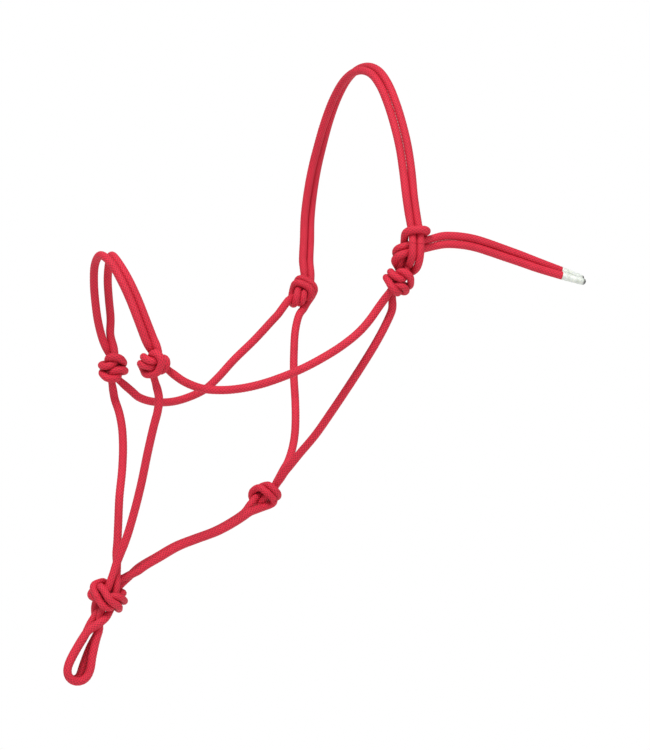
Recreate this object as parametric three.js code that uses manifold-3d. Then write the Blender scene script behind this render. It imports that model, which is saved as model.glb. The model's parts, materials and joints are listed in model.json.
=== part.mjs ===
// Rope halter for a horse: one length of braided rope shaped by knots, tied at the near cheek.
// Millimetres. X runs to the horse's left (near) side, -Y to its nose, +Z up.
// The origin is under the top of the crown, where the crown rests on the poll.

import * as THREE from 'three';
import { mergeVertices } from 'three/addons/utils/BufferGeometryUtils.js';
import Module from 'manifold-3d';

const wasm = await Module();
wasm.setup();

// ---- driving dimensions ----------------------------------------------------

const ROPE = 7;                    // rope diameter
const GAP = 0.35;                  // clearance kept between neighbouring solids
const PAIR_SPACING = ROPE + 0.55;  // centre distance of two strands lying side by side
const ROPE_SIDES = 8;
const SECTION_SWELL = 1.04;        // gives the eight-sided section about the area of the round rope
const STEP_LENGTH = 2.2 * ROPE;    // length of one straight facet along a strand
const LOOP_STEP_LENGTH = 0.8 * ROPE;  // shorter, for the tight bends of the lead loops

const TURN_SIDES = 12;             // segments of one turn of rope in a knot
const CORE_RINGS = 8;

const CHEEK_KNOT = [85, -14, -188];
const NOSE_KNOT = [40, -221, -261];
const FIADOR_KNOT = [0, -244, -452];
const THROAT_KNOT = [0, -95, -367];
const SHEET_BEND = [90, -5, -160];
const TIE_LOOP = [91, -2, -139.5];

const TIP_LENGTH = 22;
const TIP_RADIUS = 0.5 * ROPE;
const TIP_TAPER = 0.8;             // the tip narrows to this share of its radius at its free end
const TIP_SIDES = 12;

const CROWN_ROUTE = [
  [-87, -8, -174], [-91, -6, -160], [-93, -4, -142], [-94, -3, -124], [-91, -2, -102],
  [-85, -1, -80], [-75, 0, -57], [-62, 0, -36], [-46, 0, -17], [-29, 0, -4], [-11, 0, 2.4],
  [8, 0, 2.4], [24, 0, -3], [39, 0, -15], [52, 0, -32], [63, 0, -51], [72, 0, -71],
  [80, -1, -93], [86, -2, -114], [90, -2, -131], [91, -2, -144],
];
const CROWN_ROLL = THREE.MathUtils.degToRad(32);    // the pair rolls over this far and back
const CROWN_ROLL_RISE = 0.5;                        // the roll is full at this share of the crown,
const CROWN_ROLL_FALL = [0.8, 0.95];                // and dies away between these two

const NOSEBAND_ROUTE = [
  [-41, -222, -247.5], [-41, -227, -236], [-39, -232, -222], [-34, -237, -205], [-26, -242, -188],
  [-15, -246, -174], [0, -248, -167.5], [15, -246, -174], [26, -242, -188], [34, -237, -205],
  [39, -232, -222], [41, -227, -236], [41, -222, -247.5],
];

const NOSEBAND_GAP = 2.5;              // the back strand's reach where it stands off on the off side
const NOSEBAND_GAP_START = [0.06, 0.2];  // shares of the noseband between which it parts from the front
const NOSEBAND_GAP_END = [0.42, 0.6];    // strand and comes back to it

const NEAR_CHEEK_ROUTE = [
  [80.5, -23, -199], [77, -31, -214], [74, -43, -229], [71, -59, -242], [68, -77, -253],
  [64, -94, -262], [61, -111, -269], [58, -129, -275], [54, -147, -279], [51, -165, -280.5],
  [48, -182, -279], [45, -195, -274], [42, -207, -267.5],
];
const OFF_CHEEK_ROUTE = [
  [-80, -26, -197], [-76, -45, -213], [-71, -69, -234], [-66, -93, -253], [-62, -110, -268],
  [-58, -124, -278], [-55, -141, -285], [-52, -157, -289], [-48, -173, -290], [-44, -189, -288],
  [-40, -200, -284], [-37.5, -208.5, -276],
];

const NEAR_CHIN_ROUTE = [
  [40, -218, -276], [39, -216, -287], [37, -216, -297], [34, -218, -309], [28, -221, -332],
  [22, -224, -358], [16, -228, -383], [10, -234, -409], [7, -238, -421], [5, -241, -431],
];
const OFF_CHIN_ROUTE = [
  [-43, -221, -276], [-42, -219, -287], [-38, -217, -297], [-34, -216, -309], [-29, -217, -326],
  [-24, -220, -346], [-17, -226, -371], [-11, -230, -397], [-7, -233, -414], [-5, -237, -430],
];

const NEAR_THROAT_ROUTE = [
  [82, -13.5, -202.5], [79, -16, -213], [76, -20, -224], [71, -27, -240], [64, -35, -257],
  [54, -45, -278], [43, -55, -299], [32, -65, -319], [22, -74, -334], [13, -82, -348],
  [6.5, -87.5, -357],
];
const OFF_THROAT_ROUTE = [
  [-82, -14.5, -202.5], [-79, -20, -211], [-74, -26, -223], [-66, -32, -244], [-57, -37, -266],
  [-47, -41, -288], [-39, -45, -303], [-31, -50, -317], [-22, -58, -332], [-14, -68, -345],
  [-7, -80, -354.5],
];

const JAW_ROUTE = [
  [0, -106, -378], [0, -115, -385.5], [0, -126, -392], [0, -143, -400], [0, -162, -406],
  [0, -180, -412], [0, -198, -421], [0, -216, -430.5], [0, -228.5, -441],
];
const JAW_SPREAD = [1, 0, 0];

// The near loop hangs a little wider than the off one.
const NEAR_LOOP_ROUTE = [
  [0, -257, -469], [0, -266.5, -483], [0, -275, -495.5], [0, -281, -506], [0, -283, -513],
  [0, -281.5, -518.5], [0, -276.5, -522], [0, -271, -522.3], [0, -265.5, -519.5],
  [0, -262, -513], [0, -260.5, -504], [0, -258.5, -495], [0, -255, -483], [0, -249, -472],
];
const OFF_LOOP_ROUTE = [
  [0, -256.5, -467], [0, -262, -482], [0, -270.5, -495], [0, -276.5, -505], [0, -279.5, -512],
  [0, -279, -518], [0, -274.5, -521.5], [0, -269, -519.5], [0, -266.5, -513],
  [0, -263, -504], [0, -259, -495], [0, -252, -483], [0, -247.5, -472],
];

const TAIL_ROUTE = [
  [95, 12.5, -154], [97, 24, -152], [100, 38, -152], [103, 52, -154], [106, 66, -158],
  [109, 80, -162.5], [112, 94, -167], [115, 107, -171.5], [117.5, 118, -175], [120, 129.5, -178.5],
];
const TAIL_ROLL = THREE.MathUtils.degToRad(48);   // how far the stacked pair rolls over by its end

// ---- building blocks -------------------------------------------------------

const ropeMaterial = () => new THREE.MeshStandardMaterial({ color: 0xc81f3c, roughness: 0.72, metalness: 0 });
const tipMaterial = () => new THREE.MeshStandardMaterial({ color: 0xdcdcd4, roughness: 0.35, metalness: 0 });

const halter = new THREE.Group();

function addPiece(name, geometry, material, place = [0, 0, 0]) {
  const piece = new THREE.Mesh(geometry, material);
  piece.name = name;
  piece.position.set(...place);
  halter.add(piece);
}

const mirrored = ([x, y, z]) => [-x, y, z];
const shifted = (route, offset) => route.map((point) => point.map((value, i) => value + offset[i]));

function ropeCurve(route) {
  const points = route.map((point) => new THREE.Vector3(...point));
  return new THREE.CatmullRomCurve3(points, false, 'centripetal');
}

// A polygon with a flat turned to each axis of the section and about the area of the round rope.
function ropeSection() {
  const radius = (ROPE / 2) * SECTION_SWELL;
  const corners = [];
  for (let i = 0; i < ROPE_SIDES; i += 1) {
    const angle = ((i + 0.5) / ROPE_SIDES) * 2 * Math.PI;
    corners.push(new THREE.Vector2(radius * Math.cos(angle), radius * Math.sin(angle)));
  }
  return new THREE.Shape(corners);
}

function strandGeometry(route, stepLength = STEP_LENGTH) {
  const curve = ropeCurve(route);
  const steps = Math.max(2, Math.round(curve.getLength() / stepLength));
  return new THREE.ExtrudeGeometry(ropeSection(), { steps, extrudePath: curve, bevelEnabled: false });
}

// One strand of a pair that runs along a route: side -1 or 1 of it, half the pair's spacing away.
// The pair lies along the fore-and-aft or lateral direction given, rolled about the rope as it goes.
// reachAt gives the strand's distance from the route, as a multiple of half the pair's spacing.
function sideRoute(route, side, spread, rollAt = () => 0, reachAt = () => 1) {
  const curve = ropeCurve(route);
  const across = new THREE.Vector3(...spread);
  return route.map((point, i) => {
    const share = i / (route.length - 1);
    const tangent = curve.getTangent(share);
    const flat = across.clone().addScaledVector(tangent, -across.dot(tangent)).normalize();
    const raised = new THREE.Vector3().crossVectors(tangent, flat);
    const roll = rollAt(share);
    const offset = flat.multiplyScalar(Math.cos(roll)).addScaledVector(raised, Math.sin(roll));
    const reach = (side * PAIR_SPACING * reachAt(share)) / 2;
    return new THREE.Vector3(...point).addScaledVector(offset, reach).toArray();
  });
}

function addPair(names, route, spread, rollAt) {
  addPiece(names[0], strandGeometry(sideRoute(route, -1, spread, rollAt)), ropeMaterial());
  addPiece(names[1], strandGeometry(sideRoute(route, 1, spread, rollAt)), ropeMaterial());
}

function toSolid(geometry) {
  const bare = geometry.clone();
  bare.deleteAttribute('normal');
  bare.deleteAttribute('uv');
  const merged = mergeVertices(bare, 1e-4);
  return new wasm.Manifold(new wasm.Mesh({
    numProp: 3,
    vertProperties: Float32Array.from(merged.attributes.position.array),
    triVerts: Uint32Array.from(merged.index.array),
  }));
}

function toGeometry(solid) {
  const mesh = solid.getMesh();
  const geometry = new THREE.BufferGeometry();
  geometry.setAttribute('position', new THREE.BufferAttribute(mesh.vertProperties, 3));
  geometry.setIndex(new THREE.BufferAttribute(mesh.triVerts, 1));
  geometry.computeVertexNormals();
  return geometry;
}

// One turn of rope about the given axis, centred on the given offset.
function turnSolid({ at, axis, radius, thickness }) {
  const ring = new THREE.TorusGeometry(radius, thickness / 2, ROPE_SIDES, TURN_SIDES);
  const turn = new THREE.Quaternion().setFromUnitVectors(
    new THREE.Vector3(0, 0, 1),
    new THREE.Vector3(...axis).normalize(),
  );
  ring.applyQuaternion(turn);
  ring.translate(...at);
  return toSolid(ring);
}

// A knot as one solid: its turns of rope joined over a round core.
function knotGeometry(turns, coreRadius) {
  const core = new THREE.SphereGeometry(coreRadius, TURN_SIDES, CORE_RINGS);
  return toGeometry(turns.reduce((solid, turn) => solid.add(turnSolid(turn)), toSolid(core)));
}

// ---- knots -----------------------------------------------------------------

// A doubled overhand knot: three turns stacked along a slanted axis.
function overhandKnot(axis) {
  const turnSpacing = 4.4;
  const turnRadius = 6.2;
  const middleSwell = 1.2;
  const direction = new THREE.Vector3(...axis).normalize();
  const turns = [-1, 0, 1].map((place) => ({
    at: direction.clone().multiplyScalar(place * turnSpacing).toArray(),
    axis,
    radius: place === 0 ? turnRadius + middleSwell : turnRadius,
    thickness: ROPE,
  }));
  return knotGeometry(turns, turnRadius);
}

// The fiador knot: four interlocked turns leaning to four sides.
function fiadorKnot() {
  const lean = 0.75;
  const turnRadius = 8;
  const sideways = 4;
  const height = 5.2;
  const turns = [0, 1, 2, 3].map((quarter) => {
    const angle = (quarter + 0.5) * 0.5 * Math.PI;
    return {
      at: [sideways * Math.cos(angle), sideways * Math.sin(angle), quarter % 2 ? height : -height],
      axis: [lean * Math.cos(angle), lean * Math.sin(angle), 1],
      radius: turnRadius,
      thickness: ROPE,
    };
  });
  return knotGeometry(turns, turnRadius + height / 2);
}

// The body of the sheet bend: doubled turns of the crown's end round the legs of the tie loop.
function sheetBendKnot() {
  const turnSpacing = 6.2;
  const turnRadius = 8.4;
  const middleSwell = 2;
  const slant = 0.1;
  const lean = 0.35;
  const turns = [-turnSpacing, 0, turnSpacing].map((height) => ({
    at: [0, slant * height, height],
    axis: [0, lean, 1],
    radius: height === 0 ? turnRadius + middleSwell : turnRadius,
    thickness: ROPE,
  }));
  return knotGeometry(turns, turnRadius);
}

// A rounded slot outline centred on the origin, used for the tie loop's bight round the crown.
function slotOutline(path, halfLength, radius) {
  path.absarc(halfLength, 0, radius, -0.5 * Math.PI, 0.5 * Math.PI, false);
  path.absarc(-halfLength, 0, radius, 0.5 * Math.PI, 1.5 * Math.PI, false);
  path.closePath();
  return path;
}

// The bight of the tie loop: a collar that the two crown strands pass down through.
function tieLoopGeometry() {
  const bevel = 1.4;
  const innerRadius = ROPE / 2 + 2 * GAP + bevel;
  const outerRadius = innerRadius + ROPE - 2 * bevel;
  const halfLength = PAIR_SPACING / 2;
  const outline = slotOutline(new THREE.Shape(), halfLength, outerRadius);
  outline.holes.push(slotOutline(new THREE.Path(), halfLength, innerRadius));
  const collar = new THREE.ExtrudeGeometry(outline, {
    depth: ROPE - 2 * bevel,
    curveSegments: 8,
    bevelThickness: bevel,
    bevelSize: bevel,
    bevelSegments: 1,
  });
  collar.translate(0, 0, -ROPE / 2 + bevel);
  collar.rotateZ(0.5 * Math.PI);
  return collar;
}

const KNOT_AXES = {
  near_cheek: [0.45, 0.65, -0.55],
  off_cheek: [-0.5, 0.35, 0.7],
  near_nose: [0.2, 0.9, -0.25],
  off_nose: [-0.3, 0.6, 0.65],
  throat: [0.15, -0.75, 0.6],
};

addPiece('near_cheek_knot', overhandKnot(KNOT_AXES.near_cheek), ropeMaterial(), CHEEK_KNOT);
addPiece('off_cheek_knot', overhandKnot(KNOT_AXES.off_cheek), ropeMaterial(), mirrored(CHEEK_KNOT));
addPiece('near_nose_knot', overhandKnot(KNOT_AXES.near_nose), ropeMaterial(), NOSE_KNOT);
addPiece('off_nose_knot', overhandKnot(KNOT_AXES.off_nose), ropeMaterial(), mirrored(NOSE_KNOT));
addPiece('throat_knot', overhandKnot(KNOT_AXES.throat), ropeMaterial(), THROAT_KNOT);
addPiece('fiador_knot', fiadorKnot(), ropeMaterial(), FIADOR_KNOT);
addPiece('crown_sheet_bend', sheetBendKnot(), ropeMaterial(), SHEET_BEND);
addPiece('tie_loop', tieLoopGeometry(), ropeMaterial(), TIE_LOOP);

// ---- strands ---------------------------------------------------------------

const FORE_AND_AFT = [0, 1, 0];

// The crown's pair rolls over on the off side and lies flat again where the near side is tied.
function crownRoll(share) {
  const rise = THREE.MathUtils.smoothstep(share, 0, CROWN_ROLL_RISE);
  const fall = THREE.MathUtils.smoothstep(share, ...CROWN_ROLL_FALL);
  return CROWN_ROLL * rise * (1 - fall);
}

addPair(['crown_strand_front', 'crown_strand_back'], CROWN_ROUTE, FORE_AND_AFT, crownRoll);

// On the off side the noseband's back strand stands away from the front one.
function nosebandReach(share) {
  const parted = THREE.MathUtils.smoothstep(share, ...NOSEBAND_GAP_START);
  const met = THREE.MathUtils.smoothstep(share, ...NOSEBAND_GAP_END);
  return 1 + (NOSEBAND_GAP - 1) * parted * (1 - met);
}

const level = () => 0;
const nosebandFront = sideRoute(NOSEBAND_ROUTE, -1, FORE_AND_AFT);
const nosebandBack = sideRoute(NOSEBAND_ROUTE, 1, FORE_AND_AFT, level, nosebandReach);
addPiece('noseband_strand_front', strandGeometry(nosebandFront), ropeMaterial());
addPiece('noseband_strand_back', strandGeometry(nosebandBack), ropeMaterial());

addPiece('near_cheek_strand', strandGeometry(NEAR_CHEEK_ROUTE), ropeMaterial());
addPiece('off_cheek_strand', strandGeometry(OFF_CHEEK_ROUTE), ropeMaterial());
addPiece('near_chin_strand', strandGeometry(NEAR_CHIN_ROUTE), ropeMaterial());
addPiece('off_chin_strand', strandGeometry(OFF_CHIN_ROUTE), ropeMaterial());
addPiece('near_throat_strand', strandGeometry(NEAR_THROAT_ROUTE), ropeMaterial());
addPiece('off_throat_strand', strandGeometry(OFF_THROAT_ROUTE), ropeMaterial());

addPair(['off_jaw_strand', 'near_jaw_strand'], JAW_ROUTE, JAW_SPREAD);

function addLeadLoop(name, route, side) {
  const shift = [(side * PAIR_SPACING) / 2, 0, 0];
  addPiece(name, strandGeometry(shifted(route, shift), LOOP_STEP_LENGTH), ropeMaterial());
}

addLeadLoop('near_lead_loop', NEAR_LOOP_ROUTE, 1);
addLeadLoop('off_lead_loop', OFF_LOOP_ROUTE, -1);

// ---- tails -----------------------------------------------------------------

const UPRIGHT = [0, 0, 1];

// The two tails leave the bend stacked and roll slowly over each other; each ends in a sealed tip.
function addTail(name, side) {
  const route = sideRoute(TAIL_ROUTE, side, UPRIGHT, (share) => -TAIL_ROLL * share ** 2);
  const curve = ropeCurve(route);
  const end = curve.getPoint(1);
  const direction = curve.getTangent(1);
  const tipStart = end.clone().addScaledVector(direction, GAP);
  const tip = new THREE.CylinderGeometry(TIP_TAPER * TIP_RADIUS, TIP_RADIUS, TIP_LENGTH, TIP_SIDES);
  tip.translate(0, TIP_LENGTH / 2, 0);
  tip.applyQuaternion(new THREE.Quaternion().setFromUnitVectors(new THREE.Vector3(0, 1, 0), direction));
  addPiece(`${name}_tail_strand`, strandGeometry(route), ropeMaterial());
  addPiece(`${name}_tail_tip`, tip, tipMaterial(), tipStart.toArray());
}

addTail('upper', 1);
addTail('lower', -1);

export default halter;
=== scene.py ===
"""Rope halter: one continuous braided rope, knotted, tied at the near cheek, with two sealed tips."""

import json
import math

import bpy
import numpy as np
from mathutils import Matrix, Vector


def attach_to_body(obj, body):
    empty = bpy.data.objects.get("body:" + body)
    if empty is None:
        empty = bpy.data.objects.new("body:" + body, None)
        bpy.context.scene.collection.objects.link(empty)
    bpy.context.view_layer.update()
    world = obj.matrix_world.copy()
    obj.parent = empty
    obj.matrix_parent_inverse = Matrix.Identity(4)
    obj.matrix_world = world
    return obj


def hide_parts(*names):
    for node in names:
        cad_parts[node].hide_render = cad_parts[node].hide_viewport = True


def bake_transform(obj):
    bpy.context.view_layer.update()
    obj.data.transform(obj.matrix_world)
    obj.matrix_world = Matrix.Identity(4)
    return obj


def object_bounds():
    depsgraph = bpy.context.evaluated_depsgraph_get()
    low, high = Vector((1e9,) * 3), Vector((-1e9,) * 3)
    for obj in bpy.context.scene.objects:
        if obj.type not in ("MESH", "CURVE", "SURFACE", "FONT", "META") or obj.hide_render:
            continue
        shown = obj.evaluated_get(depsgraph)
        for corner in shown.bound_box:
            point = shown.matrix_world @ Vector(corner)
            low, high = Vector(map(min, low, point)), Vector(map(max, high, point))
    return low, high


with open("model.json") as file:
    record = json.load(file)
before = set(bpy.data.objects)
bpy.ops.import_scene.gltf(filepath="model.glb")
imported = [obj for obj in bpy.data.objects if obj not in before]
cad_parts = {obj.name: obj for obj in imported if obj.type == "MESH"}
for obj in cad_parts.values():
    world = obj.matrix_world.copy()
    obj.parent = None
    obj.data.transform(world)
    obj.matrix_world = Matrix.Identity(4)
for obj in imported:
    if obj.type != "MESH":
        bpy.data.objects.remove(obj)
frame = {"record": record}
cad_box = [list(corner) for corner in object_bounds()]

# ---- sizes, in metres -----------------------------------------------------

ROPE = 0.0070                  # rope diameter
PAIR_SPACING = ROPE + 0.0001   # centre distance of two strands lying side by side
KNOT_SQUEEZE = 0.88            # how far the rope is squeezed inside a tight knot
RING_STEP = 0.0007             # distance between two rings of the rope's mesh
ROPE_SIDES = 40
YARNS = 8                      # yarns that run each way round the braid
YARN_LEAD = 0.024              # length of rope in which one yarn goes once round
BRAID_DEPTH = 0.00022          # how far the braid's yarns stand out of the rope
TIP_LENGTH = 0.022

CHEEK_KNOT = (0.085, -0.014, -0.188)
NOSE_KNOT = (0.040, -0.221, -0.261)
FIADOR_KNOT = (0.0, -0.244, -0.452)
THROAT_KNOT = (0.0, -0.095, -0.367)
SHEET_BEND = (0.090, -0.005, -0.160)


def millimetres(points):
    return np.array(points, float) / 1000


def mirrored(point):
    return (-point[0], point[1], point[2])


def smooth_step(share):
    share = np.clip(share, 0, 1)
    return share * share * (3 - 2 * share)


# ---- camera ---------------------------------------------------------------

FRAME_HEIGHT = 750             # pixels of the 650 x 750 frame
CAMERA_AZIMUTH = 61.0
CAMERA_ELEVATION = -1.0
CAMERA_DISTANCE = 2.6
CAMERA_TARGET = (0.0, -0.037, -0.266)
METRES_PER_PIXEL = 0.00087     # at the target
SENSOR = 36.0


def make_camera():
    azimuth = math.radians(CAMERA_AZIMUTH)
    elevation = math.radians(CAMERA_ELEVATION)
    back = Vector((
        math.sin(azimuth) * math.cos(elevation),
        -math.cos(azimuth) * math.cos(elevation),
        math.sin(elevation),
    ))
    data = bpy.data.cameras.new("camera")
    data.sensor_width = SENSOR
    data.lens = SENSOR * CAMERA_DISTANCE / (METRES_PER_PIXEL * FRAME_HEIGHT)
    data.clip_end = 100
    camera = bpy.data.objects.new("camera", data)
    camera.location = Vector(CAMERA_TARGET) + CAMERA_DISTANCE * back
    camera.rotation_euler = (-back).to_track_quat("-Z", "Y").to_euler()
    bpy.context.scene.collection.objects.link(camera)
    bpy.context.scene.camera = camera


make_camera()

# ---- the rope's route between its knots, the same points as the CAD strands ------

CROWN = millimetres([
    (-87, -8, -174), (-91, -6, -160), (-93, -4, -142), (-94, -3, -124), (-91, -2, -102),
    (-85, -1, -80), (-75, 0, -57), (-62, 0, -36), (-46, 0, -17), (-29, 0, -4), (-11, 0, 2.4),
    (8, 0, 2.4), (24, 0, -3), (39, 0, -15), (52, 0, -32), (63, 0, -51), (72, 0, -71),
    (80, -1, -93), (86, -2, -114), (90, -2, -131), (91, -2, -144),
])
CROWN_ROLL = math.radians(32)
CROWN_ROLL_RISE = 0.5          # the roll is full at this share of the crown,
CROWN_ROLL_FALL = (0.8, 0.95)  # and dies away between these two
DRAWN_INTO_BEND = 1            # points at the crown's near end that the sheet bend draws in
NOSEBAND = millimetres([
    (-41, -222, -247.5), (-41, -227, -236), (-39, -232, -222), (-34, -237, -205), (-26, -242, -188),
    (-15, -246, -174), (0, -248, -167.5), (15, -246, -174), (26, -242, -188), (34, -237, -205),
    (39, -232, -222), (41, -227, -236), (41, -222, -247.5),
])
NOSEBAND_GAP = 2.5             # the back strand's reach where it stands off on the off side
NOSEBAND_GAP_START = (0.06, 0.2)  # it parts from the front strand between these shares of the noseband,
NOSEBAND_GAP_END = (0.42, 0.6)    # and comes back to it between these
JAW = millimetres([
    (0, -106, -378), (0, -115, -385.5), (0, -126, -392), (0, -143, -400), (0, -162, -406),
    (0, -180, -412), (0, -198, -421), (0, -216, -430.5), (0, -228.5, -441),
])
NEAR_LOOP = millimetres([
    (0, -257, -469), (0, -266.5, -483), (0, -275, -495.5), (0, -281, -506), (0, -283, -513),
    (0, -281.5, -518.5), (0, -276.5, -522), (0, -271, -522.3), (0, -265.5, -519.5),
    (0, -262, -513), (0, -260.5, -504), (0, -258.5, -495), (0, -255, -483), (0, -249, -472),
])
OFF_LOOP = millimetres([
    (0, -256.5, -467), (0, -262, -482), (0, -270.5, -495), (0, -276.5, -505), (0, -279.5, -512),
    (0, -279, -518), (0, -274.5, -521.5), (0, -269, -519.5), (0, -266.5, -513),
    (0, -263, -504), (0, -259, -495), (0, -252, -483), (0, -247.5, -472),
])
LOOP_SHIFT = np.array((PAIR_SPACING / 2, 0, 0))
TAIL = millimetres([
    (95, 12.5, -154), (97, 24, -152), (100, 38, -152), (103, 52, -154), (106, 66, -158),
    (109, 80, -162.5), (112, 94, -167), (115, 107, -171.5), (117.5, 118, -175),
    (120, 129.5, -178.5),
])
TAIL_ROLL = math.radians(48)
TIE_LOOP = millimetres([
    (87.5, -15, -174), (88.5, -11.5, -168), (88.5, -4, -168), (87.5, -7.5, -174),
])


def tangents(points):
    along = np.gradient(points, axis=0)
    return along / np.linalg.norm(along, axis=1)[:, None]


def level(share):
    return 0.0


def touching(share):
    return 1.0


def side_route(route, side, spread, roll_at=level, reach_at=touching):
    """One strand of a pair along a route, rolled about it.

    Its reach to the side is in halves of the pair's spacing, so at 1 the two strands touch.
    """
    along = tangents(route)
    across = np.array(spread, float)
    flat = across - along * (along @ across)[:, None]
    flat /= np.linalg.norm(flat, axis=1)[:, None]
    raised = np.cross(along, flat)
    roll = np.array([roll_at(i / (len(route) - 1)) for i in range(len(route))])[:, None]
    offset = flat * np.cos(roll) + raised * np.sin(roll)
    reach = np.array([reach_at(i / (len(route) - 1)) for i in range(len(route))])[:, None]
    return route + offset * reach * side * PAIR_SPACING / 2


def step_between(share, bounds):
    """Rises smoothly from 0 to 1 as the share goes from the first bound to the second."""
    start, end = bounds
    return smooth_step((share - start) / (end - start))


def crown_roll(share):
    rise = smooth_step(share / CROWN_ROLL_RISE)
    fall = step_between(share, CROWN_ROLL_FALL)
    return CROWN_ROLL * rise * (1 - fall)


def noseband_reach(share):
    parted = step_between(share, NOSEBAND_GAP_START)
    met = step_between(share, NOSEBAND_GAP_END)
    return 1 + (NOSEBAND_GAP - 1) * parted * (1 - met)


def tail_roll(share):
    return -TAIL_ROLL * share ** 2


FORE_AND_AFT = (0, 1, 0)
LATERAL = (1, 0, 0)
UPRIGHT = (0, 0, 1)

STRANDS = {
    "crown_strand_front": side_route(CROWN, -1, FORE_AND_AFT, crown_roll)[:-DRAWN_INTO_BEND],
    "crown_strand_back": side_route(CROWN, 1, FORE_AND_AFT, crown_roll)[:-DRAWN_INTO_BEND],
    "noseband_strand_front": side_route(NOSEBAND, -1, FORE_AND_AFT),
    "noseband_strand_back": side_route(NOSEBAND, 1, FORE_AND_AFT, level, noseband_reach),
    "near_cheek_strand": millimetres([
        (80.5, -23, -199), (77, -31, -214), (74, -43, -229), (71, -59, -242), (68, -77, -253),
        (64, -94, -262), (61, -111, -269), (58, -129, -275), (54, -147, -279), (51, -165, -280.5),
        (48, -182, -279), (45, -195, -274), (42, -207, -267.5),
    ]),
    "off_cheek_strand": millimetres([
        (-80, -26, -197), (-76, -45, -213), (-71, -69, -234), (-66, -93, -253), (-62, -110, -268),
        (-58, -124, -278), (-55, -141, -285), (-52, -157, -289), (-48, -173, -290), (-44, -189, -288),
        (-40, -200, -284), (-37.5, -208.5, -276),
    ]),
    "near_chin_strand": millimetres([
        (40, -218, -276), (39, -216, -287), (37, -216, -297), (34, -218, -309), (28, -221, -332),
        (22, -224, -358), (16, -228, -383), (10, -234, -409), (7, -238, -421), (5, -241, -431),
    ]),
    "off_chin_strand": millimetres([
        (-43, -221, -276), (-42, -219, -287), (-38, -217, -297), (-34, -216, -309), (-29, -217, -326),
        (-24, -220, -346), (-17, -226, -371), (-11, -230, -397), (-7, -233, -414), (-5, -237, -430),
    ]),
    "near_throat_strand": millimetres([
        (82, -13.5, -202.5), (79, -16, -213), (76, -20, -224), (71, -27, -240), (64, -35, -257),
        (54, -45, -278), (43, -55, -299), (32, -65, -319), (22, -74, -334), (13, -82, -348),
        (6.5, -87.5, -357),
    ]),
    "off_throat_strand": millimetres([
        (-82, -14.5, -202.5), (-79, -20, -211), (-74, -26, -223), (-66, -32, -244), (-57, -37, -266),
        (-47, -41, -288), (-39, -45, -303), (-31, -50, -317), (-22, -58, -332), (-14, -68, -345),
        (-7, -80, -354.5),
    ]),
    "off_jaw_strand": side_route(JAW, -1, LATERAL),
    "near_jaw_strand": side_route(JAW, 1, LATERAL),
    "near_lead_loop": NEAR_LOOP + LOOP_SHIFT,
    "off_lead_loop": OFF_LOOP - LOOP_SHIFT,
    "upper_tail_strand": side_route(TAIL, 1, UPRIGHT, tail_roll),
    "lower_tail_strand": side_route(TAIL, -1, UPRIGHT, tail_roll),
    "tie_loop": TIE_LOOP,
}

# ---- polyline tools -------------------------------------------------------


def arc_lengths(points):
    return np.concatenate([[0], np.cumsum(np.linalg.norm(np.diff(points, axis=0), axis=1))])


def resampled(points, count):
    """The polyline as count points, evenly spaced along it."""
    length = arc_lengths(points)
    places = np.linspace(0, length[-1], count)
    return np.stack([np.interp(places, length, points[:, axis]) for axis in range(3)], axis=1)


def rounded(points, steps=12):
    """A smooth curve through the points, as a dense polyline; the points may be unevenly spaced."""
    points = np.asarray(points, float)
    gap = np.linalg.norm(np.diff(points, axis=0), axis=1)[:, None]
    chord = np.diff(points, axis=0) / gap
    slope = (chord[:-1] * gap[1:] + chord[1:] * gap[:-1]) / (gap[:-1] + gap[1:])
    slope = np.vstack([chord[:1], slope, chord[-1:]])
    share = np.linspace(0, 1, steps, endpoint=False)[:, None]
    pieces = []
    for a, b, out, into, size in zip(points, points[1:], slope, slope[1:], gap):
        pieces.append(
            (2 * share ** 3 - 3 * share ** 2 + 1) * a
            + (share ** 3 - 2 * share ** 2 + share) * size * out
            + (3 * share ** 2 - 2 * share ** 3) * b
            + (share ** 3 - share ** 2) * size * into
        )
    return np.vstack(pieces + [points[-1:]])


def softened(points, rounds):
    """The polyline with its small kinks smoothed away; its ends stay put."""
    points = points.copy()
    for _ in range(rounds):
        points[1:-1] += 0.5 * (0.5 * (points[:-2] + points[2:]) - points[1:-1])
    return points


# ---- tightening a knot ----------------------------------------------------

TIGHTEN_ROUNDS = 700
BEND_ROUNDS = 300              # the sheet bend starts nearly tight
PINNED = 2                     # points at each end of a strand that stay put
LOOSE_POINTS = 110             # points on each strand of a knot
FIRST_PULL = 0.5               # the pull fades from this
LAST_PULL = 0.03               # towards this,
PULL_FADE = 1.5                # as this power of the share of the rounds that is left
PAIRING_ROUNDS = 10            # rounds between two searches for touching points
PAIRING_REACH = 1.6            # spacings within which two points may touch before the next search
NEIGHBOUR_REACH = 1.5          # spacings along a strand within which its points never part
PUSH_SHARING = 0.6             # how far a point's several pushes are averaged: 0 adds them, 1 averages
LATE_ROUNDS = 0.6              # after this share of the rounds, the strands part more often in each
EARLY_PARTINGS = 2
LATE_PARTINGS = 4


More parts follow.
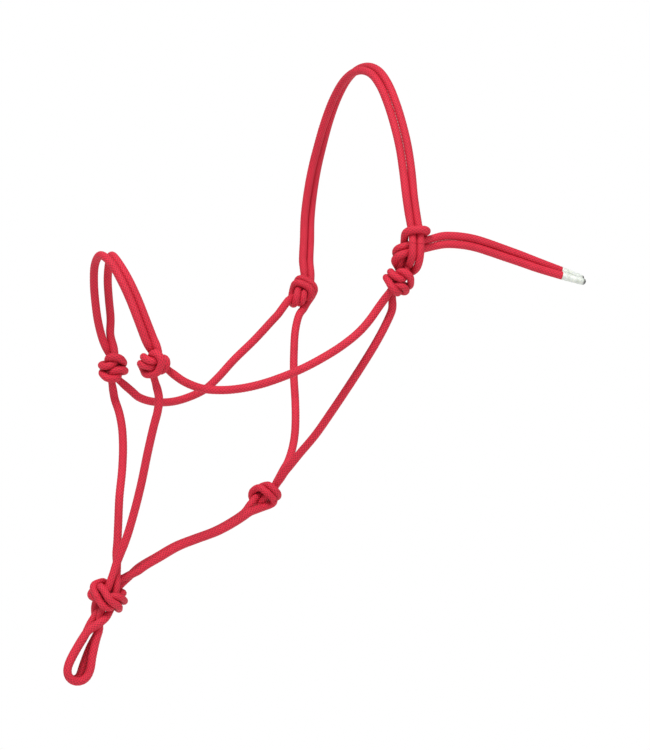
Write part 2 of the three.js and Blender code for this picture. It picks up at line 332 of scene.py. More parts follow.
class Tightening:
    """Strands of a loose knot, drawn tight between their pinned ends without passing each other."""

    def __init__(self, strands, spacing):
        self.spacing = spacing
        self.sizes = [len(strand) for strand in strands]
        self.owner = np.repeat(np.arange(len(strands)), self.sizes)
        self.index = np.concatenate([np.arange(size) for size in self.sizes])
        last = np.repeat(self.sizes, self.sizes) - 1
        self.free = ((self.index >= PINNED) & (self.index <= last - PINNED))[:, None]
        self.inner = np.where((self.index > 0) & (self.index < last))[0]
        self.points = np.vstack(strands)
        self.pairs = None

    def pull(self, strength):
        """Every free point moves towards the middle of its neighbours, to shorten the strand."""
        inner = self.inner
        middle = 0.5 * (self.points[inner - 1] + self.points[inner + 1])
        moved = self.points.copy()
        moved[inner] += strength * (middle - self.points[inner])
        self.points = np.where(self.free, moved, self.points)

    def find_pairs(self):
        """Pairs of points close enough to touch soon, leaving out near neighbours on one strand."""
        step = np.array([
            np.linalg.norm(np.diff(self.points[self.owner == strand], axis=0), axis=1).mean()
            for strand in range(len(self.sizes))
        ])
        window = np.ceil(NEIGHBOUR_REACH * self.spacing / step[self.owner])[:, None]
        same = self.owner[:, None] == self.owner[None, :]
        neighbours = same & (np.abs(self.index[:, None] - self.index[None, :]) <= window)
        distance = np.linalg.norm(self.points[:, None] - self.points[None, :], axis=2)
        close = np.triu(~neighbours & (distance < PAIRING_REACH * self.spacing), 1)
        self.pairs = np.argwhere(close)

    def part(self):
        """Points of touching strands move apart until they are one spacing from each other."""
        first, second = self.pairs.T
        gap = self.points[second] - self.points[first]
        distance = np.linalg.norm(gap, axis=1) + 1e-12
        pressed = distance < self.spacing
        first, second = first[pressed], second[pressed]
        excess = (self.spacing - distance[pressed]) / distance[pressed]
        push = 0.5 * excess[:, None] * gap[pressed]
        move = np.zeros_like(self.points)
        count = np.zeros(len(self.points))
        np.add.at(move, first, -push)
        np.add.at(move, second, push)
        np.add.at(count, first, 1)
        np.add.at(count, second, 1)
        move /= np.maximum(count, 1)[:, None] ** PUSH_SHARING
        self.points = np.where(self.free, self.points + move, self.points)

    def run(self, rounds=TIGHTEN_ROUNDS):
        for turn in range(rounds):
            share = turn / rounds
            self.pull(FIRST_PULL * (1 - share) ** PULL_FADE + LAST_PULL)
            if turn % PAIRING_ROUNDS == 0:
                self.find_pairs()
            for _ in range(EARLY_PARTINGS if share < LATE_ROUNDS else LATE_PARTINGS):
                self.part()
        return np.split(self.points, np.cumsum(self.sizes)[:-1])


# ---- loose knots ----------------------------------------------------------

# A knot's core and wrap are the radii at which its strands run down its middle and round its outside,
# and its height is half its length, all in rope diameters.
OVERHAND_CORE = 0.9
OVERHAND_HEIGHT = 1.7
FIADOR_CORE = 1.2
FIADOR_HEIGHT = 1.8
FIADOR_TURN = 1.4 * math.pi
KNOT_WRAP = 2.6
MEMBER_LIFTS = (-0.53, 0.53)   # how far an overhand knot's two strands are set apart
WAY_IN = (1.25, 0, -1.1)       # heights that a strand passes going down the core, in knot heights,
WAY_OUT = (1.0, 0, -1.25)      # and going down it again to leave
SHOULDER_HEIGHT = 1.35         # knot heights at which it crosses between the core and the outside
WRAP_MARGIN = 0.4              # angle left free at each end of the wrap
WRAP_POINTS = 13


def strand_pins(name, end):
    """The outer and inner pinned point of one end of a strand."""
    route = STRANDS[name]
    return (route[1], route[0]) if end == "start" else (route[-2], route[-1])


def knot_axes(axis, side):
    """Local x, y and z of a knot: z along its axis, x as near to side as it can be."""
    upward = np.array(axis, float) / np.linalg.norm(axis)
    across = np.array(side, float)
    across -= upward * (across @ upward)
    across /= np.linalg.norm(across)
    return across, np.cross(upward, across), upward


def turned_strand(centre, axes, pins_in, pins_out, angle, turn, lift, core, height, hand):
    """A loose strand: down the knot's core, up round the outside, and down the core again."""

    def at(radius, around, up):
        return centre + ROPE * (
            radius * math.cos(hand * around) * axes[0]
            + radius * math.sin(hand * around) * axes[1]
            + up * axes[2]
        )

    shoulder = 0.5 * (core + KNOT_WRAP)
    sweep = lift / core
    finish = angle + turn
    wrapped = turn - 2 * WRAP_MARGIN
    path = [pins_in[0], pins_in[1]]
    path += [at(core, angle + sweep, up * height) for up in WAY_IN]
    path.append(at(shoulder, angle + 0.5 * sweep, -SHOULDER_HEIGHT * height - 0.25 * lift))
    path += [
        at(KNOT_WRAP, angle + WRAP_MARGIN + share * wrapped, height * (2 * share - 1) + 0.9 * lift)
        for share in np.linspace(0, 1, WRAP_POINTS)
    ]
    path.append(at(shoulder, finish + 0.5 * sweep, SHOULDER_HEIGHT * height + 0.25 * lift))
    path += [at(core, finish + sweep, up * height) for up in WAY_OUT]
    path += [pins_out[1], pins_out[0]]
    return resampled(rounded(path), LOOSE_POINTS)


def overhand_knot(centre, axis, side, turn, hand, joins):
    """Two strands tied together in one overhand knot; hand is 1 or -1, the way that they wrap."""
    axes = knot_axes(axis, side)
    strands = [
        turned_strand(
            np.array(centre), axes, strand_pins(*entry), strand_pins(*leave),
            angle=0, turn=turn, lift=lift, core=OVERHAND_CORE, height=OVERHAND_HEIGHT, hand=hand,
        )
        for lift, (entry, leave) in zip(MEMBER_LIFTS, joins)
    ]
    return Tightening(strands, KNOT_SQUEEZE * ROPE).run()


def fiador_knot(centre, axis, side, joins):
    """Four strands, each wrapped round all the others from its own quarter of the knot."""
    axes = knot_axes(axis, side)
    strands = [
        turned_strand(
            np.array(centre), axes, strand_pins(*entry), strand_pins(*leave),
            angle=(quarter + 0.5) * math.pi / 2, turn=FIADOR_TURN, lift=0,
            core=FIADOR_CORE, height=FIADOR_HEIGHT, hand=-1,
        )
        for quarter, (entry, leave) in enumerate(joins)
    ]
    return Tightening(strands, KNOT_SQUEEZE * ROPE).run()


# ---- the sheet bend -------------------------------------------------------

# Places in the bend, in rope diameters from its centre: aft, up and out from the horse's cheek.
BEND_AXES = np.array([[0.485, 0.875, 0.0], [0.0, 0.0, 1.0], [0.875, -0.485, 0.0]])
BEND_SQUEEZE = 0.94

CROWN_IN_BEND = [
    (0.5, 3.3, -0.2), (0.7, 2.6, 0.1), (0.8, 1.9, 0.3), (0.9, 0.9, 1.4), (0.9, -0.3, 1.9),
    (0.8, -1.5, 1.8), (0.6, -2.5, 1.1), (0.4, -2.8, -0.4), (-0.5, -2.3, -1.6), (-1.5, -1.6, -1.2),
    (-1.9, -1.0, 0.0), (-1.3, -0.5, 1.0), (-0.4, 0.1, 1.0), (0.8, 0.5, 0.7), (1.8, 0.8, 0.1),
]
# Half the step from one of the crown's two strands to the other at each of those places.
CROWN_SPREAD = [
    (0.5, 0, 0), (0.5, 0, 0), (0.5, 0, 0), (0.5, 0, 0), (0.5, 0, 0),
    (0.5, 0, 0), (0.5, -0.1, 0), (0.4, -0.3, 0), (0.1, -0.5, 0), (0, -0.5, 0),
    (0, -0.5, 0), (0, -0.5, 0), (0, -0.5, 0), (0, -0.5, 0), (0, -0.5, 0),
]
LOOP_IN_BEND = [
    (-0.6, 0.0, -0.3), (-0.5, 1.1, -0.2), (-0.45, 1.7, 0.5), (0.3, 1.95, 1.25), (0.9, 2.0, 1.35),
    (1.8, 2.0, 1.0), (2.4, 1.9, 0.1), (1.9, 1.7, -0.9), (1.0, 1.5, -1.1), (0.4, 0.8, -0.9),
    (0.2, -0.2, -0.6),
]
BEND_JOINS = [
    (("crown_strand_front", "end"), ("upper_tail_strand", "start")),
    (("crown_strand_back", "end"), ("lower_tail_strand", "start")),
]


def in_bend(places):
    return np.array(SHEET_BEND) + np.array(places, float) * ROPE @ BEND_AXES


def sheet_bend():
    """The crown's strands down through the tie loop, round its legs and out aft; then the loop."""
    loose = []
    for side, (entry, leave) in zip((-1, 1), BEND_JOINS):
        places = in_bend(np.array(CROWN_IN_BEND) + side * np.array(CROWN_SPREAD))
        path = np.vstack([strand_pins(*entry), places, strand_pins(*leave)[::-1]])
        loose.append(resampled(rounded(path), LOOSE_POINTS))
    legs = STRANDS["tie_loop"]
    loop = np.vstack([legs[1], in_bend(LOOP_IN_BEND), legs[2]])
    loose.append(resampled(rounded(loop), LOOSE_POINTS))
    return Tightening(loose, BEND_SQUEEZE * ROPE).run(BEND_ROUNDS)


# ---- drawing the knots tight ----------------------------------------------

KNOT_REACH = 0.012
FIADOR_REACH = 0.018
BEND_REACH = 0.020
RELEASE = 1.6                  # the rope is back to its full width this many reaches from a knot

# Where each knot is, how far it reaches, and how far its rope is squeezed.
KNOTS = {
    "off_cheek_knot": (mirrored(CHEEK_KNOT), KNOT_REACH, KNOT_SQUEEZE),
    "near_cheek_knot": (CHEEK_KNOT, KNOT_REACH, KNOT_SQUEEZE),
    "off_nose_knot": (mirrored(NOSE_KNOT), KNOT_REACH, KNOT_SQUEEZE),
    "near_nose_knot": (NOSE_KNOT, KNOT_REACH, KNOT_SQUEEZE),
    "throat_knot": (THROAT_KNOT, KNOT_REACH, KNOT_SQUEEZE),
    "fiador_knot": (FIADOR_KNOT, FIADOR_REACH, KNOT_SQUEEZE),
    "crown_sheet_bend": (SHEET_BEND, BEND_REACH, BEND_SQUEEZE),
}

ONE_TURN = 2 * math.pi
ONE_AND_AN_EIGHTH = 2.25 * math.pi
ONE_AND_A_QUARTER = 2.5 * math.pi
# For each overhand knot: its axis, the side that its first turn starts on, how far its strands
# wrap, which way, and each strand that enters it with the strand that leaves.
OVERHANDS = {
    "off_cheek_knot": ((0.2, 1, 0.2), LATERAL, ONE_AND_A_QUARTER, 1, [
        (("crown_strand_front", "start"), ("off_cheek_strand", "start")),
        (("crown_strand_back", "start"), ("off_throat_strand", "start")),
    ]),
    "near_cheek_knot": ((0.2, 1, 0.2), LATERAL, ONE_TURN, -1, [
        (("tie_loop", "start"), ("near_cheek_strand", "start")),
        (("tie_loop", "end"), ("near_throat_strand", "start")),
    ]),
    "near_nose_knot": ((0.2, 1, 0.2), LATERAL, ONE_AND_A_QUARTER, -1, [
        (("noseband_strand_front", "end"), ("near_chin_strand", "start")),
        (("noseband_strand_back", "end"), ("near_cheek_strand", "end")),
    ]),
    "off_nose_knot": ((0.3, 0.6, 0.8), LATERAL, ONE_AND_AN_EIGHTH, -1, [
        (("noseband_strand_front", "start"), ("off_chin_strand", "start")),
        (("noseband_strand_back", "start"), ("off_cheek_strand", "end")),
    ]),
    "throat_knot": ((0.2, 1, 0.2), (0, 0.6, -0.75), ONE_AND_AN_EIGHTH, 1, [
        (("near_throat_strand", "end"), ("near_jaw_strand", "start")),
        (("off_throat_strand", "end"), ("off_jaw_strand", "start")),
    ]),
}
FIADOR_AXIS = (0.5, 0.3, 0.8)
FIADOR_JOINS = [
    (("near_chin_strand", "end"), ("near_lead_loop", "start")),
    (("near_jaw_strand", "end"), ("near_lead_loop", "end")),
    (("off_jaw_strand", "end"), ("off_lead_loop", "end")),
    (("off_chin_strand", "end"), ("off_lead_loop", "start")),
]


class Knots:
    """Every tightened knot, shared out between the knots' own turns and the strands' ends."""

    def __init__(self):
        self.turns = {}
        self.ends = {}
        for knot, (axis, side, turn, hand, joins) in OVERHANDS.items():
            tightened = overhand_knot(KNOTS[knot][0], axis, side, turn, hand, joins)
            self.share_out(knot, joins, tightened)
        fiador = fiador_knot(FIADOR_KNOT, FIADOR_AXIS, LATERAL, FIADOR_JOINS)
        self.share_out("fiador_knot", FIADOR_JOINS, fiador)
        *crown, self.tie_loop = sheet_bend()
        self.share_out("crown_sheet_bend", BEND_JOINS, crown)

    def share_out(self, knot, joins, paths):
        """Each path is cut where it first and last passes nearest the middle of the knot."""
        self.turns[knot] = []
        for (entry, leave), path in zip(joins, paths):
            distance = np.linalg.norm(path - KNOTS[knot][0], axis=1)
            third = len(path) // 3
            first = int(distance[:third].argmin())
            last = len(path) - third + int(distance[-third:].argmin())
            self.ends[entry] = path[:first + 1]
            self.ends[leave] = path[last:][::-1]
            self.turns[knot].append(path[first:last + 1])


POINT_STEP = 0.0012            # distance between two points of a strand's centreline
SOFTENING = 8
ROUTE_STEPS = 12               # steps between two points of a strand's route


def strand_line(name, knots):
    """One strand's centreline from deep in one knot to deep in the next, as a dense polyline."""
    route = STRANDS[name]
    start = knots.ends.get((name, "start"))
    end = knots.ends.get((name, "end"))
    if name == "tie_loop":
        middle = knots.tie_loop
    else:
        first = 0 if start is None else 1
        last = len(route) - (1 if end is None else 2)
        middle = rounded(route, ROUTE_STEPS)[first * ROUTE_STEPS:last * ROUTE_STEPS + 1]
    parts = [middle]
    if start is not None:
        parts = [start[:0:-1], middle]
    if end is not None:
        parts.append(end[1:])
    line = np.vstack(parts)
    count = int(arc_lengths(line)[-1] / POINT_STEP) + 1
    return softened(resampled(line, count), SOFTENING)


def rope_radii(points):
    """The rope's radius at each point: squeezed in the knots, full between them."""
    share = np.ones(len(points))
    for centre, reach, squeeze in KNOTS.values():
        distance = np.linalg.norm(points - centre, axis=1)
        released = smooth_step((distance / reach - 1) / (RELEASE - 1))
        share = np.minimum(share, squeeze + (1 - squeeze) * released)
    return ROPE / 2 * share


# ---- rope meshes ----------------------------------------------------------


def carried_normals(points):
    """A pair of unit normals carried along the curve without twisting."""
    along = tangents(points)
    normal = np.cross(along[0], np.roll(along[0], 1))
    first = np.empty_like(points)
    for i, tangent in enumerate(along):
        normal = normal - tangent * (tangent @ normal)
        normal /= np.linalg.norm(normal)
        first[i] = normal
    return first, np.cross(along, first)


def braid_height(distance, angle):
    """Height of the braid's surface, 0 to 1. Yarns run both ways round and cross over and under."""
    turn = 2 * math.pi * distance / YARN_LEAD
    right = np.cos(YARNS / 2 * (angle + turn))
    left = np.cos(YARNS / 2 * (angle - turn))
    over = np.clip(2 * right * left, -1, 1)
    return np.maximum(np.abs(right) * (0.7 + 0.3 * over), np.abs(left) * (0.7 - 0.3 * over))


BRAID_MIDDLE = 0.7             # about the mean of braid_height
BRAID_SHIFT = 0.37             # share of a yarn's lead by which the braid differs in the next turn


def tube(centreline, braid_start):
    """Ring vertices, faces and braid coordinates of one length of braided rope."""
    rings = max(8, int(arc_lengths(centreline)[-1] / RING_STEP) + 1)
    centres = resampled(centreline, rings)
    first, second = carried_normals(centres)
    distance = braid_start + arc_lengths(centres)
    angle = np.arange(ROPE_SIDES) * 2 * math.pi / ROPE_SIDES
    relief = braid_height(distance[:, None], angle[None, :]) - BRAID_MIDDLE
    reach = (rope_radii(centres)[:, None] + BRAID_DEPTH * relief)[:, :, None]
    spoke = (
        np.cos(angle)[None, :, None] * first[:, None, :]
        + np.sin(angle)[None, :, None] * second[:, None, :]
    )
    vertices = (centres[:, None, :] + reach * spoke).reshape(-1, 3)
    corner = np.arange(ROPE_SIDES)
    ahead = (corner + 1) % ROPE_SIDES
    ring = np.arange(rings - 1)[:, None] * ROPE_SIDES
    next_ring = ring + ROPE_SIDES
    faces = np.stack([ring + corner, ring + ahead, next_ring + ahead, next_ring + corner], 2)
    faces = faces.reshape(-1, 4).tolist()
    faces.append(corner[::-1].tolist())
    faces.append((corner + (rings - 1) * ROPE_SIDES).tolist())
    braid = np.zeros((rings, ROPE_SIDES, 3))
    braid[:, :, 0] = distance[:, None]
    braid[:, :, 1] = np.cos(angle)
    braid[:, :, 2] = np.sin(angle)
    return vertices, faces, braid.reshape(-1, 3), centres


def mesh_object(name, vertices, faces, material):
    mesh = bpy.data.meshes.new(name)
    mesh.from_pydata(vertices.tolist(), [], faces)
    mesh.polygons.foreach_set("use_smooth", [True] * len(mesh.polygons))
    mesh.materials.append(material)
    piece = bpy.data.objects.new(name, mesh)
    bpy.context.scene.collection.objects.link(piece)
    return piece


def rope_object(name, centrelines, material):
    """One object of braided rope along its centrelines; returns it and the last one's ring centres."""
    vertices, faces, braids = [], [], []
    count = 0
    for number, centreline in enumerate(centrelines):
        points, quads, braid, centres = tube(centreline, BRAID_SHIFT * YARN_LEAD * number)
        vertices.append(points)
        braids.append(braid)
        faces += [[count + corner for corner in face] for face in quads]
        count += len(points)
    piece = mesh_object(name, np.vstack(vertices), faces, material)
    attribute = piece.data.attributes.new("braid", "FLOAT_VECTOR", "POINT")
    attribute.data.foreach_set("vector", np.vstack(braids).astype(np.float32).reshape(-1))
    return piece, centres


# ---- materials ------------------------------------------------------------

NOISE_ROUGHNESS = 0.55
MIX_FIRST, MIX_SECOND = 6, 7   # the colour inputs of a mix node
MIX_RESULT = 2                 # and its colour output

CRIMSON = (0.58, 0.006, 0.028)
CRIMSON_PALER = (0.72, 0.010, 0.040)
CRIMSON_FADED = (0.82, 0.020, 0.060, 1)
# painted shade: a darker crimson put into the grooves between the yarns
CRIMSON_PAINTED_SHADE = (0.22, 0.003, 0.012, 1)
# painted sheen: a paler crimson put along the filaments
CRIMSON_PAINTED_SHEEN = (0.88, 0.05, 0.10, 1)
SHEEN_PINK = (1.0, 0.45, 0.5, 1)
SLEEVE_DULL = (0.56, 0.60, 0.54)
SLEEVE_MILKY = (0.74, 0.77, 0.72)
CORE_DARK = (0.07, 0.07, 0.07)
CORE_GREY = (0.22, 0.22, 0.20)
FLOOR_GREY = (0.90, 0.90, 0.90)
FLOOR_PALE = (0.93, 0.93, 0.93)

# Sizes of noise patterns, as Blender's noise scale: a larger number is a finer pattern.
FLOOR_SCALE = 3
FADE_SCALE = 7
BLOTCH_SCALE = 34
WEAR_SCALE = 160
CLOUD_SCALE = 180
FRAY_SCALE = 420
SCUFF_SCALE = 700
WAVER_SCALE = 900
FUZZ_SCALE = 2600

FILAMENTS = 14                 # waves of the filaments across two neighbouring yarns
WAVER = 1.6                    # how far the filaments wander, in radians
PAINTED_SHADE_TOP = 0.72              # height of the braid below which painted shade darkens its colour, and how fast
PAINTED_SHADE_GAIN = 2.2              # and how fast
BARE_START = 0.93              # share of a tip past which its core shows,
BARE_GAIN = 12                 # and how sharply


class Nodes:
    """Short ways to add shader nodes to one material."""

    def __init__(self, name):
        self.material = bpy.data.materials.new(name)
        self.material.use_nodes = True
        self.tree = self.material.node_tree
        self.shader = self.tree.nodes["Principled BSDF"]

    def add(self, kind, **settings):
        node = self.tree.nodes.new(kind)
        for key, value in settings.items():
            setattr(node, key, value)
        return node

    def feed(self, socket, value):
        if isinstance(value, bpy.types.NodeSocket):
            self.tree.links.new(value, socket)
        else:
            socket.default_value = value

    def math(self, operation, *values, clamp=False):
        node = self.add("ShaderNodeMath", operation=operation, use_clamp=clamp)
        for socket, value in zip(node.inputs, values):
            self.feed(socket, value)
        return node.outputs[0]

    def noise(self, place, scale, detail=3.0):
        node = self.add("ShaderNodeTexNoise")
        self.feed(node.inputs["Vector"], place)
        node.inputs["Scale"].default_value = scale
        node.inputs["Detail"].default_value = detail
        node.inputs["Roughness"].default_value = NOISE_ROUGHNESS
        return node.outputs["Fac"]

    def ramp(self, value, *stops):
        node = self.add("ShaderNodeValToRGB")
        self.feed(node.inputs["Fac"], value)
        elements = node.color_ramp.elements
        while len(elements) < len(stops):
            elements.new(0.5)
        for element, (position, colour) in zip(elements, stops):
            element.position = position
            element.color = (*colour, 1)
        return node.outputs["Color"]

    def mix(self, share, first, second):
        node = self.add("ShaderNodeMix", data_type="RGBA")
        self.feed(node.inputs["Factor"], share)
        self.feed(node.inputs[MIX_FIRST], first)
        self.feed(node.inputs[MIX_SECOND], second)
        return node.outputs[MIX_RESULT]

    def bump(self, height, distance, strength):
        node = self.add("ShaderNodeBump")
        node.inputs["Strength"].default_value = strength
        node.inputs["Distance"].default_value = distance
        self.feed(node.inputs["Height"], height)
        self.feed(self.shader.inputs["Normal"], node.outputs["Normal"])


def rope_material():
    """Crimson polyester braid: crossing yarns of fine filaments, with painted shade between them and a
    painted sheen along the filaments.
    """
    make = Nodes("red_braid")
    braid = make.add("ShaderNodeAttribute", attribute_name="braid").outputs["Vector"]
    split = make.add("ShaderNodeSeparateXYZ")
    make.feed(split.inputs[0], braid)
    distance, across, up = split.outputs
    angle = make.math("ARCTAN2", up, across)
    turn = make.math("MULTIPLY", distance, 2 * math.pi / YARN_LEAD)
    right_phase = make.math("MULTIPLY", make.math("ADD", angle, turn), YARNS / 2)
    left_phase = make.math("MULTIPLY", make.math("SUBTRACT", angle, turn), YARNS / 2)
    right = make.math("COSINE", right_phase)
    left = make.math("COSINE", left_phase)
    over = make.math("MULTIPLY", make.math("MULTIPLY", right, left), 0.6)
    right_share = make.math("ADD", over, 0.7)
    right_height = make.math("MULTIPLY", make.math("ABSOLUTE", right), right_share)
    left_share = make.math("SUBTRACT", 0.7, over)
    left_height = make.math("MULTIPLY", make.math("ABSOLUTE", left), left_share)
    height = make.math("MAXIMUM", right_height, left_height)
    right_on_top = make.math("GREATER_THAN", right_height, left_height)

    phase_gap = make.math("SUBTRACT", right_phase, left_phase)
    top_phase = make.math("ADD", left_phase, make.math("MULTIPLY", phase_gap, right_on_top))
    place = make.add("ShaderNodeTexCoord").outputs["Object"]
    waver = make.math("MULTIPLY", make.noise(place, WAVER_SCALE), WAVER)
    wound = make.math("MULTIPLY", top_phase, FILAMENTS)
    filament = make.math("SINE", make.math("ADD", wound, waver))
    fuzz = make.noise(place, FUZZ_SCALE, detail=2)

    blotch = make.noise(place, BLOTCH_SCALE)
    fade = make.noise(place, FADE_SCALE)
    body = make.ramp(blotch, (0.3, CRIMSON), (0.7, CRIMSON_PALER))
    body = make.mix(make.math("MULTIPLY", fade, 0.3), body, CRIMSON_FADED)
    # painted shade: the colour is darkened where the braid is low, between the yarns
    shade_depth = make.math("SUBTRACT", PAINTED_SHADE_TOP, height)
    groove_painted_shade = make.math("MULTIPLY", shade_depth, PAINTED_SHADE_GAIN, clamp=True)
    shaded = make.mix(groove_painted_shade, body, CRIMSON_PAINTED_SHADE)
    # painted sheen: the colour is paled along each filament, standing in for the light that it catches
    painted_sheen = make.math("MULTIPLY", make.math("ADD", filament, 1), 0.09)
    colour = make.mix(painted_sheen, shaded, CRIMSON_PAINTED_SHEEN)
    make.feed(make.shader.inputs["Base Color"], colour)
    rough = make.math("ADD", make.math("MULTIPLY", make.noise(place, WEAR_SCALE), 0.22), 0.5)
    make.feed(make.shader.inputs["Roughness"], rough)
    make.shader.inputs["Specular IOR Level"].default_value = 0.35
    make.shader.inputs["Sheen Weight"].default_value = 0.08
    make.shader.inputs["Sheen Roughness"].default_value = 0.45
    make.shader.inputs["Sheen Tint"].default_value = SHEEN_PINK
    strands = make.math("MULTIPLY", filament, 0.12)
    relief = make.math("ADD", strands, make.math("MULTIPLY", fuzz, 0.5))
    make.bump(make.math("ADD", height, relief), distance=0.00035, strength=0.55)
    return make.material


def tip_material():
    """A clear sleeve gone milky, with the dark melted core of the rope showing at its mouth."""
    make = Nodes("sealed_tip")
    place = make.add("ShaderNodeTexCoord").outputs["Object"]
    cloud = make.noise(place, CLOUD_SCALE)
    sleeve = make.ramp(cloud, (0.3, SLEEVE_DULL), (0.6, SLEEVE_MILKY))
    core = make.ramp(cloud, (0.35, CORE_DARK), (0.7, CORE_GREY))
    along = make.add("ShaderNodeAttribute", attribute_name="along").outputs["Fac"]
    fray = make.noise(place, FRAY_SCALE)
    frayed = make.math("ADD", along, make.math("MULTIPLY", fray, 0.16))
    bare = make.math("MULTIPLY", make.math("SUBTRACT", frayed, BARE_START), BARE_GAIN, clamp=True)
    colour = make.mix(bare, sleeve, core)
    make.feed(make.shader.inputs["Base Color"], colour)
    rough = make.math("ADD", make.math("MULTIPLY", fray, 0.25), 0.18)
    make.feed(make.shader.inputs["Roughness"], rough)
    make.shader.inputs["Subsurface Weight"].default_value = 0.25
    make.shader.inputs["Subsurface Radius"].default_value = (0.002, 0.002, 0.0015)
    make.shader.inputs["Coat Weight"].default_value = 0.4
    make.shader.inputs["Coat Roughness"].default_value = 0.12
    make.bump(make.noise(place, SCUFF_SCALE), distance=0.0003, strength=0.3)
    return make.material


# ---- the halter -----------------------------------------------------------

BODY_OF = {
    node: body
    for body, nodes in frame["record"]["behaviour"]["bodies"].items()
    for node in nodes
}
# Strands that leave a knot of another body, with that body, their own, and the points from and to; attach
# only looks up which strands are listed here, and leaves them unattached to a body.
OFF_CROWN_BEND = ("cheek_frame", "crown", (-0.085, -0.014, -0.186), (-0.075, -0.014, -0.158))
NOSEBAND_BEND = ("cheek_frame", "noseband", (0, -0.221, -0.258), (0, -0.221, -0.236))
JAW_BEND = ("chin_sling", "jaw_strap", (0, -0.240, -0.450), (0, -0.214, -0.429))
LOOP_BEND = ("chin_sling", "lead_loops", (0, -0.246, -0.456), (0, -0.262, -0.482))
TAIL_BEND = ("crown", "tails", (0.092, 0.002, -0.157), (0.098, 0.030, -0.152))
BENDS = {
    "crown_strand_front": OFF_CROWN_BEND,
    "crown_strand_back": OFF_CROWN_BEND,
    "tie_loop": ("cheek_frame", "crown", (0.085, -0.014, -0.184), (0.085, -0.014, -0.168)),
    "noseband_strand_front": NOSEBAND_BEND,
    "noseband_strand_back": NOSEBAND_BEND,
    "near_chin_strand": (
        "cheek_frame", "chin_sling", (0.040, -0.221, -0.262), (0.037, -0.216, -0.297),
    ),
    "off_chin_strand": (
        "cheek_frame", "chin_sling", (-0.040, -0.221, -0.262), (-0.038, -0.217, -0.297),
    ),
    "near_throat_strand": (
        "cheek_frame", "throat_sling", (0.085, -0.014, -0.190), (0.076, -0.020, -0.224),
    ),
    "off_throat_strand": (
        "cheek_frame", "throat_sling", (-0.085, -0.014, -0.190), (-0.074, -0.026, -0.223),
    ),
    "near_jaw_strand": JAW_BEND,
    "off_jaw_strand": JAW_BEND,
    "near_lead_loop": LOOP_BEND,
    "off_lead_loop": LOOP_BEND,
    "upper_tail_strand": TAIL_BEND,
    "lower_tail_strand": TAIL_BEND,
}


def attach(piece, node):
    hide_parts(node)
    if node in BENDS:
        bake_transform(piece)
    else:
        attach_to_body(piece, BODY_OF[node])


TIP_SIDES = 32
TIP_RINGS = 26
TIP_MOUTH = 1.03               # the sleeve's radius where it meets the rope, in rope radii,
TIP_TAPER = 0.16               # and how much of that it loses by its end
TIP_ROUNDING = (0.96, 0.84, 0.55)  # how far the last rings draw in
TIP_PINCH = 0.07               # how oval the end is
BEAD_HEIGHT = 0.00018          # height of the shrunk sleeve's uneven beads,
BEAD_WAVES = (37, 11)          # which are two waves along it, in radians for its whole length


def add_tip(name, end, direction, material):
    """A sealed end: a short tapered sleeve with a rounded, slightly pinched end."""
    along = direction / np.linalg.norm(direction)
    share = np.linspace(0, 1, TIP_RINGS)
    centres = end + np.outer(share, along) * TIP_LENGTH
    first, second = carried_normals(centres)
    bead = BEAD_HEIGHT * np.sin(share * BEAD_WAVES[0]) * np.sin(share * BEAD_WAVES[1])
    radius = ROPE / 2 * (TIP_MOUTH - TIP_TAPER * share) + bead
    radius[-len(TIP_ROUNDING):] *= TIP_ROUNDING
    angle = np.arange(TIP_SIDES) * 2 * math.pi / TIP_SIDES
    oval = 1 + TIP_PINCH * share[:, None] * np.cos(2 * angle)[None, :]
    spoke = (
        np.cos(angle)[None, :, None] * first[:, None]
        + np.sin(angle)[None, :, None] * second[:, None]
    )
    vertices = (centres[:, None] + (radius[:, None] * oval)[:, :, None] * spoke).reshape(-1, 3)
    faces = []
    for ring in range(TIP_RINGS - 1):
        low = ring * TIP_SIDES
        high = low + TIP_SIDES
        for side in range(TIP_SIDES):
            ahead = (side + 1) % TIP_SIDES
            faces.append([low + side, low + ahead, high + ahead, high + side])
    faces.append(list(range(TIP_SIDES))[::-1])
    faces.append([(TIP_RINGS - 1) * TIP_SIDES + side for side in range(TIP_SIDES)])
    sleeve = mesh_object(name, vertices, faces, material)
    attribute = sleeve.data.attributes.new("along", "FLOAT", "POINT")
    attribute.data.foreach_set("value", np.repeat(share, TIP_SIDES).astype(np.float32))
    return sleeve


def build_halter():
    knots = Knots()
    rope = rope_material()
    tip = tip_material()
    for knot, turns in knots.turns.items():
        piece, _ = rope_object(knot + "_turns", turns, rope)
        attach(piece, knot)
    for name in STRANDS:
        line = strand_line(name, knots)
        piece, rings = rope_object(name + "_rope", [line], rope)
        attach(piece, name)
        if name.endswith("tail_strand"):
            node = name.replace("strand", "tip")
            sleeve = add_tip(node + "_sleeve", rings[-1], rings[-1] - rings[-4], tip)
            attach(sleeve, node)


build_halter()

# ---- floor, light and picture ---------------------------------------------

FLOOR_GAP = 0.03               # the halter hangs this far over the floor
FLOOR_SIZE = 60.0


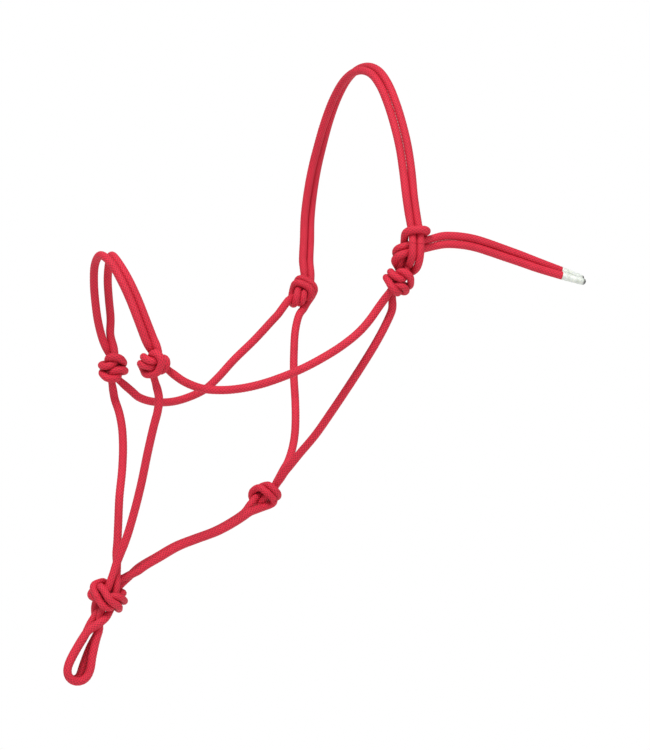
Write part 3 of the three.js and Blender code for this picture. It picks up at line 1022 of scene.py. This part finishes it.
def floor_material():
    make = Nodes("pale_floor")
    place = make.add("ShaderNodeTexCoord").outputs["Object"]
    colour = make.ramp(make.noise(place, FLOOR_SCALE), (0.3, FLOOR_GREY), (0.7, FLOOR_PALE))
    make.feed(make.shader.inputs["Base Color"], colour)
    make.shader.inputs["Roughness"].default_value = 0.9
    glow = make.add("ShaderNodeEmission")
    both = make.add("ShaderNodeMixShader")
    output = make.tree.nodes["Material Output"]
    make.feed(both.inputs[0], make.add("ShaderNodeLightPath").outputs["Is Camera Ray"])
    make.feed(both.inputs[1], make.shader.outputs[0])
    make.feed(both.inputs[2], glow.outputs[0])
    make.feed(output.inputs["Surface"], both.outputs[0])
    return make.material


def add_floor():
    lowest = cad_box[0][2] - FLOOR_GAP
    half = FLOOR_SIZE / 2
    outline = [(-half, -half, lowest), (half, -half, lowest), (half, half, lowest), (-half, half, lowest)]
    floor = mesh_object("floor", np.array(outline, float), [[0, 1, 2, 3]], floor_material())


def add_area_light(name, place, target, size, power):
    data = bpy.data.lights.new(name, "AREA")
    data.size = size
    data.energy = power
    light = bpy.data.objects.new(name, data)
    light.location = place
    aim = Vector(target) - Vector(place)
    light.rotation_euler = aim.to_track_quat("-Z", "Y").to_euler()
    bpy.context.scene.collection.objects.link(light)


def add_world(seen, lighting):
    """A white world: its strength as the backdrop that is seen, and as the light it gives."""
    world = bpy.data.worlds.new("studio")
    world.use_nodes = True
    tree = world.node_tree
    background = tree.nodes["Background"]
    background.inputs["Color"].default_value = (1, 1, 1, 1)
    strength = tree.nodes.new("ShaderNodeMapRange")
    strength.inputs["To Min"].default_value = lighting
    strength.inputs["To Max"].default_value = seen
    light_path = tree.nodes.new("ShaderNodeLightPath")
    tree.links.new(light_path.outputs["Is Camera Ray"], strength.inputs["Value"])
    tree.links.new(strength.outputs[0], background.inputs["Strength"])
    bpy.context.scene.world = world


add_floor()
add_world(seen=1.0, lighting=0.42)
add_area_light("key", (1.2, -1.6, 2.6), CAMERA_TARGET, 1.2, 95)
add_area_light("fill", (2.4, 0.9, 1.0), CAMERA_TARGET, 1.6, 22)
bpy.context.scene.view_settings.view_transform = "Standard"
